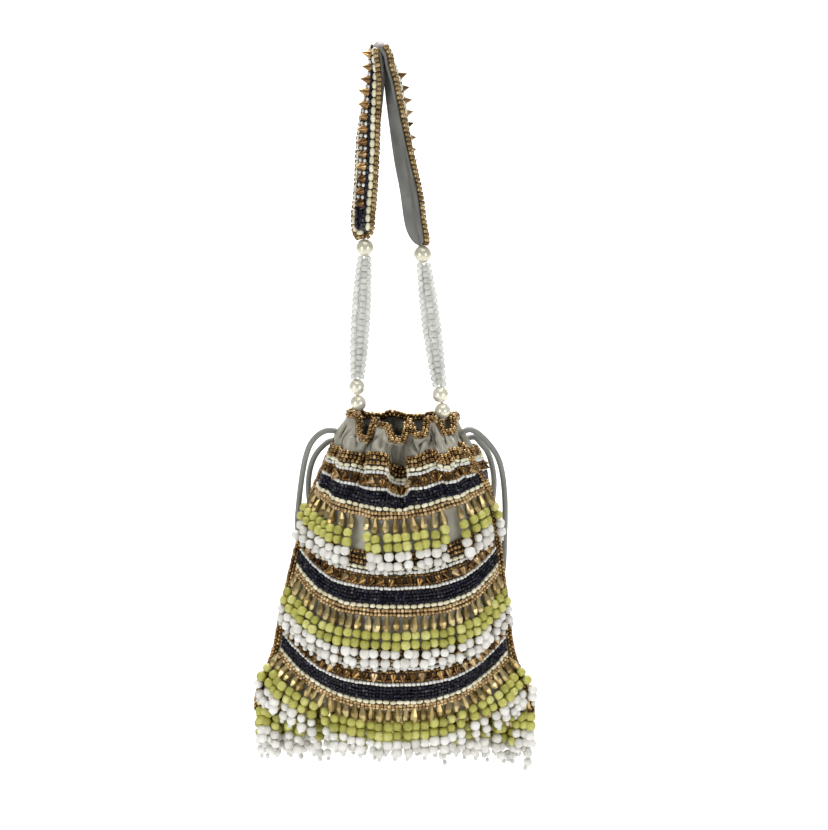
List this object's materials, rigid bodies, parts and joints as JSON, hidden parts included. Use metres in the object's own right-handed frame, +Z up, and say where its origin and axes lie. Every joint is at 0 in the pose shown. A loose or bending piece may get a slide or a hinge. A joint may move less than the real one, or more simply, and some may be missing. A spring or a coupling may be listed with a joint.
{
  "type": "beaded potli bag",
  "caption": "Small gathered satin pouch with tiers of beaded bands and bead fringes, drawstring loops at the sides and a beaded strap handle on strings of glass beads.",
  "frame": {"origin": "inside of the fold of the handle strap, where the bag hangs", "axes": "+Z up, +X to the right as the front is seen, front faces -Y"},
  "size_m": [0.1746, 0.0952, 0.4441],
  "materials": {
    "satin_pouch": "satin, gathered",
    "strap_satin": "satin",
    "cord_satin": "satin",
    "bronze_beads": "bronze seed beads",
    "band_beads": "navy cut beads with cream, copper and bronze rows",
    "fringe_beads": "matte green and white beads with gold drops",
    "handle_beads": "gold, cream and navy bead rows",
    "pearl": "pearl lustre",
    "clear_beads": "clear and milky glass",
    "gold_discs": "bright"
  },
  "bodies": {
    "root": {"bag_body": "satin_pouch", "bead_band_1_back": "band_beads", "bead_band_1_front": "band_beads", "bead_band_2_back": "band_beads", "bead_band_2_front": "band_beads", "bead_band_3_back": "band_beads", "bead_band_3_front": "band_beads", "disc_stack_left": "gold_discs", "disc_stack_right": "gold_discs", "drawstring_left": "cord_satin", "drawstring_right": "cord_satin", "fringe_1_back": "fringe_beads", "fringe_1_front": "fringe_beads", "fringe_2_back": "fringe_beads", "fringe_2_front": "fringe_beads", "fringe_3_back": "fringe_beads", "fringe_3_front": "fringe_beads", "fringe_4_back": "fringe_beads", "fringe_4_front": "fringe_beads", "glass_strand_left_1": "clear_beads", "glass_strand_left_2": "clear_beads", "glass_strand_left_3": "clear_beads", "glass_strand_left_4": "clear_beads", "glass_strand_right_1": "clear_beads", "glass_strand_right_2": "clear_beads", "glass_strand_right_3": "clear_beads", "glass_strand_right_4": "clear_beads", "handle_beadwork": "handle_beads", "handle_strap": "strap_satin", "hem_fringe": "fringe_beads", "mouth_edging": "bronze_beads", "pearl_left_low": "pearl", "pearl_left_mid": "pearl", "pearl_left_top": "pearl", "pearl_right_low": "pearl", "pearl_right_mid": "pearl", "pearl_right_top": "pearl", "side_edging_left": "bronze_beads", "side_edging_right": "bronze_beads"}
  },
  "joints": []
}
